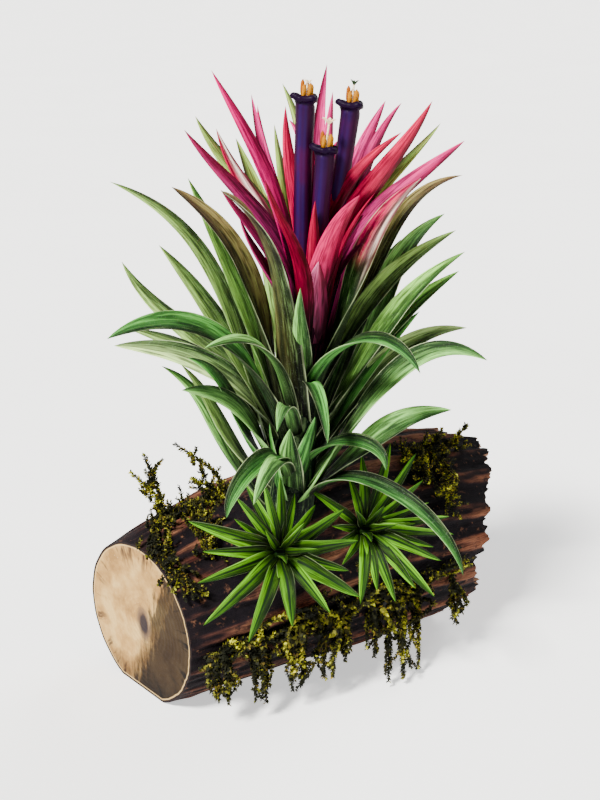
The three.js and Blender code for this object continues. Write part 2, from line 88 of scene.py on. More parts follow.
# Leaves as in the part's source: turn, root, reach, rise, slope, tip slope, width; and their finish
GREEN_LEAVES = [
    (176, 8, 56.5, 88, 70, 15, 6, "olive"), (201, 22, 41.5, 92, 70, 30, 11, "brown"),
    (180, 16, 36, 92, 75, 60, 8, "fresh"), (231, 25, 41, 95.5, 70, 25, 12.5, "brown"),
    (163, 11, 56, 64, 75, 55, 7, "olive"), (182, 18, 42, 74, 60, 45, 7.5, "olive"),
    (216, 18, 61, 58, 70, -25, 9, "dark"), (181, 20, 52, 45, 55, -5, 8.5, "pale"),
    (169, 15, 51, 47, 60, 5, 6, "olive"), (238, 25, 49, 60, 70, -5, 5.5, "green"),
    (203, 11, 34, 48, 40, 20, 7, "dark"), (174, 0, 39.5, 39, 40, 20, 5, "green"),
    (211, 10, 37, 41, 60, 5, 8.5, "green"), (193, 6, 34, 44, 40, 45, 5.5, "olive"),
    (243, 13, 37, 13, 70, -95, 6, "shaded"), (255, 10, 40, 20, 60, -40, 5.5, "green"),
    (258, 24, 22, 72, 95, 80, 6, "green"), (279, 30, 38, 38, 110, -40, 4.5, "dark"),
    (259, 24, 34, 38, 45, -80, 5, "green"), (303, 24, 47, 59, 95, -35, 6.5, "dark"),
    (344, 5, 48, 56, 65, -20, 8.5, "green"), (7, 12, 43, 59, 65, 5, 7, "pale"),
    (343, 5, 41, 41, 50, 15, 9, "green"), (13, 22, 33, 89, 55, 35, 8.5, "green"),
    (3, 27, 35, 86, 75, 35, 7, "olive"), (353, 18, 37.5, 82, 65, 40, 7.5, "fresh"),
    (17, 24, 41, 73, 60, 35, 6.5, "fresh"), (26, 29, 41, 98, 65, 10, 5.5, "brown"),
    (329, 4, 54.5, 1, 70, -70, 5, "shaded"), (316, 12, 32, 26, 85, -85, 5.5, "shaded"),
    (342, 32, 24, 100, 70, 50, 12, "white_tip"), (255, -6, 10, 30, 95, 92, 10, "green"),
    (292, -6, 10, 34, 95, 88, 9.5, "dark"), (222, -6, 11, 30, 92, 80, 9, "dark"),
    (325, -5, 13, 26, 90, 70, 8, "green"), (28, 12, 25, 80, 80, 58, 8.5, "dark"),
    (12, 8, 30, 62, 75, 50, 6, "dark"),
]
PINK_LEAVES = [
    (172, 48, 33, 119, 85, 55, 5.5, "pink"), (143, 45, 28, 113, 80, 70, 4.5, "rose"),
    (136, 50, 28.5, 110, 80, 75, 4.5, "pink"), (150, 50, 15, 112, 95, 85, 5.5, "red"),
    (96, 48, 28.5, 122, 80, 115, 5, "rose"), (91, 49, 29, 115, 85, 85, 5, "rose"),
    (65, 47, 34, 114, 90, 40, 6, "rose"), (58, 44, 35.5, 114, 75, 30, 4.5, "rose"),
    (28, 50, 28.5, 117, 100, 65, 6.5, "red"), (352, 47, 17, 110, 105, 45, 6.5, "red"),
    (6, 46, 34, 109, 95, 45, 7, "rose"), (327, 48, 14, 95, 90, 60, 4, "red"),
    (285, 46, 26, 97, 95, 35, 8, "coral"), (250, 49, 9, 91.5, 95, 85, 5.5, "red"),
    (242, 46, 34, 99, 90, 55, 7, "red"), (190, 44, 38, 105, 95, 50, 6.5, "purple"),
    (202, 45, 29, 92, 85, 50, 6, "purple"), (215, 44, 26, 86, 80, 65, 8, "purple"),
    (162, 51, 32, 104, 85, 65, 5.5, "cream"), (159, 50, 39, 106, 90, 55, 6, "leafy"),
    (145, 49, 31, 101, 70, 55, 5.5, "leafy"), (110, 50, 42.5, 114.5, 95, 25, 4, "leafy"),
    (116, 49, 35.5, 104, 70, 60, 4, "leafy"), (33, 47, 34.5, 111, 100, 50, 4.5, "leafy"),
    (268, 43, 8, 76, 98, 90, 8.5, "blush"), (166, 44, 22, 88, 90, 62, 6.5, "purple"),
]

# The offsets: place, way they face, and outer leaves as turn, reach and width
OFFSETS = {
    "front_offset": dict(foot=(-3.1, -29.2, 43.9), faces=(0.15, -0.82, 0.55), leaves=[
        (164, 26.5, 5.2), (182, 21.5, 4.2), (202, 24.5, 4.4), (224, 29, 4.8), (250, 26, 4.6),
        (278, 20.5, 4.6), (330, 24.5, 5.2), (344, 19, 4.2), (8, 21, 5.4), (34, 20.5, 4.8),
        (148, 15.5, 3), (132, 19, 3), (120, 20.5, 3), (106, 19.5, 2.8), (92, 20, 3),
        (78, 16, 2.8), (170, 16.5, 3.4), (226, 20, 3.4), (308, 21, 3.8), (54, 15.5, 3.6)]),
    "right_offset": dict(foot=(20.7, -17.5, 45.1), faces=(0.12, -0.82, 0.56), leaves=[
        (148, 19.5, 3.2), (94, 20.5, 3.4), (74, 25, 3.6), (56, 25.5, 3.4), (8, 23.5, 3.8),
        (356, 24.5, 3.8), (344, 19.5, 3.4), (336, 22.5, 3.8), (314, 26.5, 3.8),
        (308, 21.5, 3.4), (290, 22, 3.4), (264, 21.5, 3.6), (236, 13, 2.8), (180, 10, 2.8),
        (110, 15, 2.8), (40, 21, 2.8), (22, 19, 3), (208, 11, 2.8), (4, 15, 3), (278, 18, 3.2)]),
}

# The flowers: foot and mouth beside the stem's axis, height of the mouth, and length of the pistil
FLOWERS = [
    ((-2.8, 1), (-8.1, 1.2), 115.6, 3),
    ((2.3, 1.7), (3.6, 2.2), 115.2, 4.5),
    ((0.2, -2.7), (-1.8, -4.6), 104.3, 6),
]
TUBE = dict(foot=1.6, waist=2.3, bore=1.7, bore_depth=7, throat=3, sides=48)

# A flower's rolled lip as radius and height above the mouth. Its last rows are inside the tube.
LIP = [(2.5, -3), (2.6, -2.2), (2.9, -1.5), (3.4, -1.1), (3.9, -1), (4.1, -0.6), (4, -0.1),
       (3.6, 0.3), (3.1, 0.45), (2.6, 0.2), (2.15, -0.3), (1.85, -1.4), (1.7, -3)]
TUBE_TONES = [(46, 0, 28), (46, 0, 36), (42, 22, 78), (18, 1, 26)]  # foot, sides, painted highlight at the front, and lip

# An anther as radius, height above its thread's end and distance from the flower's axis
ANTHER = [(0.1, -2.2, 1.2), (0.44, -1.6, 1.22), (0.54, -0.4, 1.25), (0.5, 1.1, 1.3), (0.1, 1.8, 1.32)]
STAMEN_TONES = [(250, 246, 236), (170, 118, 0), (150, 84, 0), (20, 50, 20)]

# Hanging strands of moss: place along the log, how far they swing out, and height of their ends
HANGING_MOSS = [
    (-42, 3, 10.6), (-39, 4, 9.8), (-31, 4, 7.4), (-28, 4, 5.8), (-20, 4, 7.4), (-17, 4, 8.2),
    (-10, 5, 9), (-7, 5, 9), (-3, 5, 12.2), (7, 5, 10.4), (12, 8, 2.6), (17, 9, 2.4),
    (23, 7, 2.4), (37, 4, 11.4),
]

# Moss on the bark creeps near lines of places along the log and degrees round it. A sprig has its
# place, its degrees, its height and how far its top leans to the right.
FRONT_MOSS = [(s, 184) for s in (-42, -33, -24, -15, -6, 3, 12, 21, 30, 42)]
OFFSET_MOSS = [(3, 184), (4, 172), (6, 162)]
MOSS_PATCHES = {
    "moss_left": dict(
        lines=[[(-43, 84), (-34, 86), (-24, 95)], [(-43, 84), (-48, 109), (-47, 128), (-44, 146)],
               [(-34, 86), (-34, 110), (-36, 129)]],
        sprigs=[(-41, 84, 20, -4), (-41, 84, 15, -8), (-24, 95, 17, -13), (-25, 95, 7, -8)],
        rows=6, spread=3, count=26, gain=1),
    "moss_right": dict(
        lines=[[(36, 112), (45, 112), (54, 110)], [(45, 112), (45, 128), (40, 146)],
               [(36, 112), (36, 121), (36, 131)]],
        sprigs=[(45, 112, 8, 2), (54, 110, 8, 4)],
        # gain 2.4 paints this patch lighter, as painted light, where the plant shades it from the key
        # light
        rows=5, spread=2.6, count=24, gain=2.4),
}
MOSS_LEAF = 1.6       # length of a moss leaf
MOSS_STEP = 0.43      # along a shoot, from one whorl of leaves to the next
LEAVES_IN_WHORL = 3


def vec(*xyz):
    return np.array(xyz, float)


def unit(v):
    v = np.asarray(v, float)
    return v / np.linalg.norm(v, axis=-1, keepdims=True)


def heading(degrees):
    """The direction at so many degrees, as its cosine and sine."""
    return vec(cos(radians(degrees)), sin(radians(degrees)))


def circle(count):
    """Angles at even steps once round."""
    return np.linspace(0, 2 * pi, count, endpoint=False)


def mix(a, b, t):
    return a + (b - a) * t


def ease(t):
    t = np.clip(t, 0, 1)
    return t * t * (3 - 2 * t)


def dice(seed):
    """A seeded row of random numbers from 0 to 1, the same as in the part's source."""
    state = seed

    def roll():
        nonlocal state
        state = (state * 1664525 + 1013904223) % 2**32
        return state / 2**32
    return roll


def linear(colour):
    """A colour, or a row of them, from 0 to 255 as linear light."""
    c = np.asarray(colour, float) / 255
    return np.where(c <= 0.04045, c / 12.92, ((c + 0.055) / 1.055) ** 2.4)


def place_object(name, data):
    """Adds an object to the scene."""
    made = bpy.data.objects.new(name, data)
    bpy.context.scene.collection.objects.link(made)
    return made


class Mesh:
    """Collects the closed parts of one piece: points, faces, and for each point its tone (a colour)
    and its place on the part (across, along and a number of its own)."""

    def __init__(self):
        self.points, self.faces, self.tones, self.places, self.slots = [], [], [], [], []
        self.count = 0

    def add(self, points, faces, tones, places, slot=0):
        points = np.asarray(points, float).reshape(-1, 3)
        self.points.append(points)
        self.tones.append(np.broadcast_to(tones, (len(points), 3)))
        self.places.append(np.broadcast_to(places, (len(points), 3)))
        self.faces.extend([tuple(int(i) + self.count for i in face) for face in faces])
        self.slots.extend([slot] * len(faces))
        self.count += len(points)

    def grid(self, points, tones, places, slot=0, caps=True):
        """Adds rings of points, joined to their neighbours and closed round."""
        rings, size = points.shape[:2]
        faces = []
        for i in range(rings - 1):
            low, high = i * size, (i + 1) * size
            faces += [(low + j, low + (j + 1) % size, high + (j + 1) % size, high + j)
                      for j in range(size)]
        if caps:
            faces.append(tuple(range(size))[::-1])
            faces.append(tuple(range((rings - 1) * size, rings * size)))
        tones, places = (np.broadcast_to(v, points.shape).reshape(-1, 3) for v in (tones, places))
        self.add(points, faces, tones, places, slot)

    def piece(self, name, materials, smooth=60):
        """Makes the piece, which stands for the solid of the same name."""
        data = bpy.data.meshes.new(name)
        data.from_pydata(np.concatenate(self.points) * MM, [], self.faces)
        tones = np.concatenate(self.tones)
        for title, kind, key, values in (
                ("tone", "FLOAT_COLOR", "color", np.c_[tones, np.ones(len(tones))]),
                ("place", "FLOAT_VECTOR", "vector", np.concatenate(self.places))):
            attribute = data.attributes.new(title, kind, "POINT")
            attribute.data.foreach_set(key, values.astype(np.float32).ravel())
        for material in materials:
            data.materials.append(material)
        data.polygons.foreach_set("material_index", self.slots)
        data.polygons.foreach_set("use_smooth", [True] * len(data.polygons))
        data.set_sharp_from_angle(angle=radians(smooth))
        data.validate()
        made = place_object(name + "_piece", data)
        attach(made, "root")
        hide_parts(name)


# Materials

class Look:
    """A node material, with short calls for the nodes it is made of, and its colour so far."""

    def __init__(self, name, specular, **surface):
        self.material = bpy.data.materials.new(name)
        self.material.use_nodes = True
        self.tree = self.material.node_tree
        self.tree.nodes.clear()
        self.surface = self.add("BsdfPrincipled", {"Specular IOR Level": specular, **surface})
        output = self.tree.nodes.new("ShaderNodeOutputMaterial")
        self.tree.links.new(self.surface.outputs[0], output.inputs["Surface"])

    def add(self, kind, inputs, **settings):
        """Adds a node. An input is a value, or another node's output."""
        node = self.tree.nodes.new("ShaderNode" + kind)
        for key, value in settings.items():
            setattr(node, key, value)
        for key, value in inputs.items():
            self.put(node.inputs[key], value)
        return node

    def put(self, socket, value):
        if isinstance(value, bpy.types.NodeSocket):
            self.tree.links.new(value, socket)
        elif isinstance(value, tuple) and socket.type == "RGBA":
            socket.default_value = (*linear(value), 1)
        else:
            socket.default_value = value

    def tone(self):
        return self.add("Attribute", {}, attribute_name="tone").outputs["Color"]

    def place(self):
        return self.add("Attribute", {}, attribute_name="place").outputs["Vector"]

    def position(self):
        return self.add("TexCoord", {}).outputs["Object"]

    def parts(self, vector):
        return self.add("SeparateXYZ", {0: vector}).outputs

    def length(self, vector):
        return self.add("VectorMath", {0: vector}, operation="LENGTH").outputs["Value"]

    def scaled(self, vector, x, y, z):
        return self.add("VectorMath", {0: vector, 1: (x, y, z)}, operation="MULTIPLY").outputs[0]

    def maths(self, operation, a, b=0):
        return self.add("Math", {0: a, 1: b}, operation=operation).outputs[0]

    def times(self, a, b):
        return self.maths("MULTIPLY", a, b)

    def plus(self, a, b):
        return self.maths("ADD", a, b)

    def noise(self, vector, scale, detail=4, roughness=0.6):
        return self.add("TexNoise", {"Vector": vector, "Scale": scale, "Detail": detail,
                                     "Roughness": roughness}).outputs["Fac"]

    def ease(self, value, low, high, to_low=0, to_high=1):
        """The value's place between low and high, eased, as a number from to_low to to_high."""
        return self.add("MapRange", {"Value": value, "From Min": low, "From Max": high,
                                     "To Min": to_low, "To Max": to_high},
                        interpolation_type="SMOOTHSTEP").outputs[0]

    def ramp(self, factor, stops):
        """Starts the colour as a ramp."""
        node = self.add("ValToRGB", {"Fac": factor})
        elements = node.color_ramp.elements
        for place, _ in stops[2:]:
            elements.new(place)
        for element, (place, colour) in zip(elements, stops):
            element.position = place
            element.color = (*linear(colour), 1)
        self.colour = node.outputs["Color"]

    def tint(self, factor, colour, mode="MIX"):
        """Blends another colour into the colour so far."""
        inputs = {0: factor, 6: self.colour, 7: colour}
        self.colour = self.add("Mix", inputs, data_type="RGBA", blend_type=mode).outputs[2]

    def finish(self, roughness, height=None, depth=0, strength=0):
        """Links colour, roughness and relief of so many millimetres to the surface."""
        self.put(self.surface.inputs["Base Color"], self.colour)
        self.put(self.surface.inputs["Roughness"], roughness)
        if height is not None:
            bump = self.add("Bump", {"Height": height, "Strength": strength, "Distance": depth * MM})
            self.put(self.surface.inputs["Normal"], bump.outputs[0])
        return self.material


def leaf_material(name, streak_highlight, shadow, channel, margin, scales):
    """A leaf blade: its tone with long painted highlight streaks and painted shadow streaks, painted
    shade in its channel, pale margins that are partly its own pale edge and partly a painted
    highlight, fine ribs and silvery scales."""
    crease_shade, pale_edge_and_glint, silver = (3, 14, 10), (206, 222, 170), (214, 222, 206)
    look = Look(name, 0.08, **{"Subsurface Weight": 0.02, "Subsurface Scale": 0.002})
    place = look.place()
    off_middle = look.maths("ABSOLUTE", look.parts(place)[0])
    broad = look.noise(look.scaled(place, 2, 0.45, 1), 2.2, 2)
    fine = look.noise(look.scaled(place, 7, 0.6, 1), 3, 3)
    look.colour = look.tone()
    # Broad painted shadow streaks along the leaf
    look.tint(look.ease(broad, 0.56, 0.36, 0, 0.75), shadow, "MULTIPLY")
    # Painted highlight streaks along the leaf
    light = look.times(look.ease(fine, 0.5, 0.66), look.ease(broad, 0.36, 0.6, 0.15, 1))
    look.tint(look.times(light, 0.6), streak_highlight, "SOFT_LIGHT")
    look.tint(look.times(light, 0.12), streak_highlight)
    # Fine painted shadow streaks
    look.tint(look.ease(fine, 0.47, 0.34, 0, 0.65), shadow, "MULTIPLY")
    # Painted shade in the channel down the middle of the leaf
    look.tint(look.times(look.ease(off_middle, 0.3, 0.04), channel), crease_shade)
    # Pale margins: partly the leaf's own pale edge, partly a painted highlight where the edges catch
    # the light
    rim_and_glint = look.times(look.ease(broad, 0.4, 0.58, 0.2, 1), margin)
    look.tint(look.times(look.ease(off_middle, 0.91, 0.99), rim_and_glint), pale_edge_and_glint)
    specks = look.noise(look.position(), 1800, 2, 0.7)
    look.tint(look.times(look.ease(specks, 0.56, 0.7), scales), silver)
    ribs = look.noise(look.scaled(place, 16, 0.6, 1), 2, 2)
    return look.finish(look.ease(fine, 0.3, 0.7, 0.45, 0.65), ribs, 0.35, 0.35)


def petal_material():
    """A tube: its tone with fine veins, and a maroon blush that ends under the lips."""
    violet, maroon = (110, 50, 170), (70, 0, 44)
    blush_end, lips = 110.4 / PLACE_UNIT, 113.4 / PLACE_UNIT
    look = Look("petal_finish", 0.06)
    place = look.place()
    veins = look.noise(look.scaled(place, 9, 0.5, 1), 2, 3)
    look.colour = look.tone()
    look.tint(look.ease(veins, 0.4, 0.7, 0, 0.45), violet, "SOFT_LIGHT")
    blush = look.ease(look.noise(look.scaled(place, 1.6, 0.8, 1), 1.6, 2), 0.5, 0.7, 0, 0.4)
    below_lip = look.ease(look.parts(place)[1], lips, blush_end)
    look.tint(look.times(blush, below_lip), maroon)
    return look.finish(look.ease(veins, 0.3, 0.7, 0.4, 0.55), veins, 0.3, 0.4)


def stamen_material():
    """Threads and anthers: their tone, with grains of pollen."""
    look = Look("stamen_finish", 0.1)
    grain = look.add("TexVoronoi", {"Scale": 3200, "Vector": look.position()}).outputs["Distance"]
    look.colour = look.tone()
    look.tint(look.ease(grain, 0.2, 0.7, 0, 0.7), (245, 196, 30), "MULTIPLY")
    return look.finish(0.7, grain, 0.1, 0.5)


def moss_material():
    """Moss: its tone with dark patches and yellow specks."""
    dark, yellow = (18, 20, 8), (240, 220, 70)
    look = Look("moss_finish", 0.15)
    position = look.position()
    look.colour = dark
    look.tint(look.ease(look.noise(position, 260, 3), 0.4, 0.58), look.tone())
    specks = look.noise(position, 1500, 2)
    look.tint(look.ease(specks, 0.5, 0.7, 0, 0.5), yellow, "SOFT_LIGHT")
    return look.finish(look.ease(specks, 0.3, 0.7, 0.6, 0.85), specks, 0.15, 0.4)


def bark_material():
    """Bark: place holds the angle, the distance along the log, and the height of the relief."""
    crack, rust, brown, crumb = (12, 7, 10), (140, 60, 44), (120, 74, 52), (160, 108, 78)
    look = Look("bark_finish", 0.12)
    place = look.place()
    _, along, height = look.parts(place)
    position = look.position()
    fibres = look.noise(look.scaled(place, 14, 0.09, 0), 2, 6, 0.65)
    patches = look.noise(position, 55, 4, 0.6)
    lumps = look.noise(position, 420, 5, 0.65)
    # Darker in the furrows and lighter on the ridges: partly the bark's own colour, partly painted
    # shade in the furrows and a painted highlight on the ridge tops
    look.ramp(look.ease(height, -0.9, 1.1), [
        (0, (6, 3, 8)), (0.4, (20, 11, 16)), (0.66, (72, 42, 34)), (1, (126, 82, 58))])
    look.tint(look.ease(fibres, 0.35, 0.65, 0.8, 0), crack)
    look.tint(look.ease(patches, 0.5, 0.7, 0, 0.6), rust, "SOFT_LIGHT")
    # Towards the broken end the ridges are bare and brown
    bare = look.times(look.ease(along, 12, 44, 0, 0.6), look.ease(height, -0.3, 0.7))
    look.tint(look.times(bare, look.ease(fibres, 0.36, 0.56, 0.15, 1)), brown)
    look.tint(look.ease(lumps, 0.58, 0.74, 0, 0.35), crumb)
    look.tint(look.ease(lumps, 0.44, 0.28, 0, 0.8), (16, 10, 14))
    return look.finish(0.86, look.plus(look.times(fibres, 0.7), lumps), 1.1, 0.75)


def wood_material():
    """The sawn face: place holds the millimetres across and up from its middle, and 1 at the bark."""
    inner_bark, outer_bark = (204, 170, 112), (24, 14, 14)
    look = Look("wood_finish", 0.1)
    place = look.place()
    across, up, edge = look.parts(place)
    flat = look.scaled(place, 1, 1, 0)
    pith = look.add("VectorMath", {0: flat, 1: (*PITH, 0)}, operation="SUBTRACT").outputs[0]
    radius = look.length(pith)
    warp = look.times(look.noise(flat, 0.07, 2, 0.5), 5)
    rings = look.maths("SINE", look.times(look.plus(radius, warp), 4.1))
    grain = look.noise(flat, 1.4, 6, 0.7)
    smears = look.noise(look.scaled(place, 0.5, 0.12, 0), 1, 4, 0.6)
    look.ramp(look.noise(flat, 0.1, 3), [
        (0.36, (140, 104, 56)), (0.5, (172, 134, 76)), (0.62, (192, 158, 98))])
    clean_cut(look, pith, radius, rings, grain, edge)
    # Painted shade to the right and below on the sawn face
    shade_right_and_below(look, across, up, smears)
    knot(look, pith, smears)
    look.tint(look.ease(edge, 0.945, 0.96, 0, 0.8), inner_bark)
    look.tint(look.ease(edge, 0.962, 0.972), outer_bark)
    return look.finish(0.72, look.plus(look.times(rings, 0.25), grain), 0.25, 0.3)


def clean_cut(look, pith, radius, rings, grain, edge):
    """Rings near the pith, fine grain, and dark rays towards the bark."""
    ring, dark_grain, pale_grain, ray = (128, 92, 60), (132, 98, 66), (236, 214, 172), (52, 32, 26)
    near_pith = look.ease(radius, 12, 3, 0.04, 0.3)
    look.tint(look.times(look.ease(rings, 0.2, 1), near_pith), ring)
    look.tint(look.ease(grain, 0.52, 0.75, 0, 0.4), dark_grain)
    look.tint(look.ease(grain, 0.42, 0.28, 0, 0.35), pale_grain)
    x, y, _ = look.parts(pith)
    turn = look.times(look.maths("ARCTAN2", y, x), 3)
    spokes = look.add("CombineXYZ", {0: turn, 1: look.times(radius, 0.03)}).outputs[0]
    rays = look.ease(look.noise(spokes, 2.6, 3, 0.6), 0.54, 0.66)
    look.tint(look.times(rays, look.ease(edge, 0.62, 0.97)), ray)


def shade_right_and_below(look, across, up, smears):
    """Painted shade to the right and below, with darker smears along its border, and darker still
    towards the bottom.
    """
    dark, smear, lower_shade = (54, 52, 62), (40, 34, 40), (112, 98, 96)
    slant = look.plus(look.plus(across, look.times(up, 0.5)), look.times(smears, 16))
    look.tint(look.ease(slant, 7, -3, 0, 0.97), dark, "MULTIPLY")
    border = look.times(look.ease(slant, 6, 2.5), look.ease(slant, -2, 1))
    border = look.times(border, look.ease(up, -6, 3))
    look.tint(look.times(border, 0.8), smear, "MULTIPLY")
    # Painted shade, darker towards the bottom
    low = look.plus(up, look.times(smears, 14))
    look.tint(look.ease(low, -4, -14, 0, 0.75), lower_shade, "MULTIPLY")


def knot(look, pith, smears):
    """The log's dark heart, with a brown edge."""
    brown, black = (88, 70, 58), (30, 24, 30)
    core = look.plus(look.length(look.scaled(pith, 1.25, 0.8, 0)), look.times(smears, 2))
    look.tint(look.ease(core, 6, 4.2, 0, 0.75), brown)
    look.tint(look.ease(core, 4.4, 2.8, 0, 0.92), black)


def torn_material():
    """The broken end: threads of wood that run along the log."""
    look = Look("torn_finish", 0.3)
    straighten = {"Vector": look.position(), "Rotation": (0, 0, -radians(LOG["turn"]))}
    along_log = look.add("Mapping", straighten).outputs[0]
    threads = look.noise(look.scaled(along_log, 60, 900, 900), 1, 4, 0.6)
    look.ramp(threads, [(0.3, (44, 28, 24)), (0.5, (122, 82, 56)), (0.75, (178, 134, 92))])
    return look.finish(0.85, threads, 0.8, 0.8)


def floor_material():
    glow = {"Emission Color": (255, 255, 255), "Emission Strength": 0.8}
    look = Look("floor_finish", 0.2, **glow)
    look.ramp(look.noise(look.position(), 6, 4), [(0.3, (240, 240, 238)), (0.7, (246, 246, 244))])
    return look.finish(0.85)


# Leaves

# A leaf's section from its left edge over the upper face to the right edge and back underneath: how
# far across, from -1 to 1, and 1 above or -1 below
UPPER_FACE = np.sin(np.linspace(-1, 1, 9) * pi / 2)
ACROSS_LEAF = np.concatenate([UPPER_FACE, UPPER_FACE[-2:0:-1]])
ABOVE = np.where(np.arange(len(ACROSS_LEAF)) < len(UPPER_FACE), 1, -1)


def stem(foot, up, right):
    """A foot and three directions: up along the stem, right, and back."""
    axis = unit(up)
    side = unit(vec(*right) - axis * np.dot(right, axis))
    return dict(foot=vec(*foot), up=axis, right=side, back=np.cross(axis, side))


LEAN = radians(PLANT["lean"])
STEM = stem(PLANT["foot"], (sin(LEAN), 0, cos(LEAN)), (1, 0, 0))


def on_stem(axes, x, y, height):
    x, y, height = (np.asarray(v, float)[..., None] for v in (x, y, height))
    return axes["foot"] + axes["right"] * x + axes["back"] * y + axes["up"] * height


def bezier(a, b, c, d, t):
    """Points and directions of a curve with two handles."""
    t = t[:, None]
    point = a * (1 - t) ** 3 + 3 * b * t * (1 - t) ** 2 + 3 * c * t * t * (1 - t) + d * t ** 3
    along = 3 * ((b - a) * (1 - t) ** 2 + 2 * (c - b) * t * (1 - t) + (d - c) * t * t)
    return point, unit(along)


def blade(mesh, axes, row, start, root_width, seed, finish, stations=30, crowd=7):
    """Adds one channelled, pointed leaf whose midrib lies in the upright plane at its turn."""
    turn, root, reach, rise, slope, tip_slope, width = row
    roll = dice(seed)
    t = np.linspace(0, 1, stations + 1) ** 0.9
    t[-1] = 0.9985  # so that the last ring is tiny, but still a ring
    origin, end = vec(start, root), vec(reach, rise)
    length = np.linalg.norm(end - origin)
    handles = heading(slope) * length, heading(tip_slope) * length
    point, tangent = bezier(origin, origin + 0.52 * handles[0], end - 0.34 * handles[1], end, t)
    to_right, to_back = heading(turn)
    out = axes["right"] * to_right + axes["back"] * to_back
    side = np.cross(axes["up"], out)
    centre = axes["foot"] + out * point[:, :1] + axes["up"] * point[:, 1:]
    upper = -out * tangent[:, 1:] + axes["up"] * tangent[:, :1]
    twist = -radians(TURN_TO_LIGHT) * to_right * ease(1.6 * t)[:, None]
    face = upper * np.cos(twist) + side * np.sin(twist)
    edge = side * np.cos(twist) - upper * np.sin(twist)

    half = width / 2 * mix(root_width, 1, ease(t / 0.4)) * (1 - t ** 3.2) ** 0.85
    thick = mix(*HALF_THICKNESS, t) * np.minimum(1, half / 0.8)
    depth = 2 * CHANNEL * half * (1 - 0.4 * t)
    wave = 1 + 0.12 * np.sin(t * 9 + 6 * roll())[:, None] * np.sign(ACROSS_LEAF)
    lift = (depth[:, None] * np.abs(ACROSS_LEAF) ** 1.45 * wave
            + thick[:, None] * ABOVE * np.sqrt(1 - ACROSS_LEAF ** 2))
    points = (centre[:, None] + edge[:, None] * (half[:, None] * ACROSS_LEAF)[..., None]
              + face[:, None] * lift[..., None])
    tones = blade_tones(finish, t, -np.sign(edge[stations // 2, 0]), roll)
    # Painted shade where other leaves crowd round the leaf
    tones = tones * mix(0.36, 1, clearance(axes, points, crowd))[..., None]
    place = np.stack(np.broadcast_arrays(ACROSS_LEAF, t[:, None] * length / PLACE_UNIT,
                                         17.3 * roll() + seed % 7), axis=-1)
    mesh.grid(points, tones, place)


def blade_tones(finish, t, left_side, roll):
    """A leaf's tones: painted shade at its root, turning at its tip, and a painted highlight on the
    half that faces left, with painted shade on the other half.
    """
    low, middle, tip, bright = linear(FINISHES[finish])
    # From the root colour, mostly a painted shade, to the middle colour
    tone = mix(low, middle, ease((t - 0.06) / 0.46)[:, None])
    turning = ease((t - 0.5) / (0.14 if finish == "white_tip" else 0.5))
    tone = mix(tone, tip, turning[:, None]) * mix(0.75, 1.15, roll())
    # A few leaves are lit on the other half
    leftward = left_side * (1 if roll() < 0.85 else -1)
    lit = 0.5 + 0.5 * np.tanh(2.4 * leftward * ACROSS_LEAF)
    # Painted shade on the half away from the light
    tone = tone[:, None] * mix(0.17, 1, lit)[:, None]
    # Painted highlight where the light catches the lit half, stronger towards the tip
    caught = lit * mix(0.1, 1, ease(t * 2.2))[:, None] * mix(0.5, 0.95, roll())
    if finish in ("white_tip", "cream"):
        # Only a streak beside the midrib is pale, in the leaf's own colour
        caught = np.exp(-((ACROSS_LEAF + 0.3) / 0.26) ** 2) * ease((t - 0.4) * 4)[:, None]
    return mix(tone, bright, caught[..., None])


def clearance(axes, points, crowd):
    """From 0 where other leaves crowd round a point to 1 where it is clear of them, or in front; it
    sets the painted shade between leaves.
    """
    offset = points - axes["foot"]
    offset = offset - (offset @ axes["up"])[..., None] * axes["up"]
    away = np.linalg.norm(offset, axis=-1)
    in_front = ease((-(offset @ axes["back"]) - 3) / 5)
    return np.maximum(ease((away - crowd) / (2.4 * crowd)), in_front)


def turned(mesh, axes, rows, sides, tone, swell=1, seed=0, lift=0):
    """Adds a round stem or tube along its axes: rows of radius, height and, if it bends, x and y. Its
    tone, swell and lift are one for all, or one for each point."""
    rows = np.array([(*row, 0, 0)[:4] for row in rows], float)
    a = circle(sides)
    r = rows[:, :1] * swell
    points = on_stem(axes, rows[:, 2:3] + r * np.cos(a), rows[:, 3:4] + r * np.sin(a),
                     rows[:, 1:2] + lift)
    place = np.stack(np.broadcast_arrays(0.6 * np.sin(a), rows[:, 1:2] / PLACE_UNIT, seed), axis=-1)
    mesh.grid(points, tone, place)


def root_radius(height):
    return 6.5 - 0.08 * height


def seeded(leaves, first):
    """Splits each leaf of a table into its numbers, a seed of its own and its finish."""
    return [(row, first + i, finish) for i, (*row, finish) in enumerate(leaves)]


def back_leaves(count, seed, low, high, size, finishes):
    """Leaves at the back of the stem, set by rule as in the part's source: low and high are the root,
    reach and rise of the lowest and the highest."""
    roll = dice(seed)
    rows = []
    for i in range(count):
        t = (i + 0.5) / count
        steep = mix(60, 82, t)
        root, reach, rise = (mix(a, b, t) for a, b in zip(low, high))
        rows.append((44 + (i * 137.5) % 96, root, reach + 6 * (roll() - 0.5),
                     rise + 8 * (roll() - 0.5), steep, steep - mix(65, 30, t) + 20 * (roll() - 0.5),
                     size * mix(0.8, 1.1, roll()), finishes[i % len(finishes)]))
    return rows


def build_rosette():
    core = [(PLANT["foot_radius"], -12), (PLANT["foot_radius"], 6), (PLANT["waist_radius"], 26),
            (PLANT["heart_radius"], PLANT["green_top"])]
    back = back_leaves(8, 11, (6, 46, 34), (32, 34, 92), 8, ("green", "olive", "fresh"))
    mesh = Mesh()
    turned(mesh, STEM, core, 24, linear((5, 20, 12)))
    for row, seed, finish in seeded(GREEN_LEAVES, 100) + seeded(back, 200):
        blade(mesh, STEM, row, root_radius(row[1]) - 2, ROOT_WIDTH["green"], seed, finish)
    mesh.piece("green_rosette", [GREEN_FINISH])


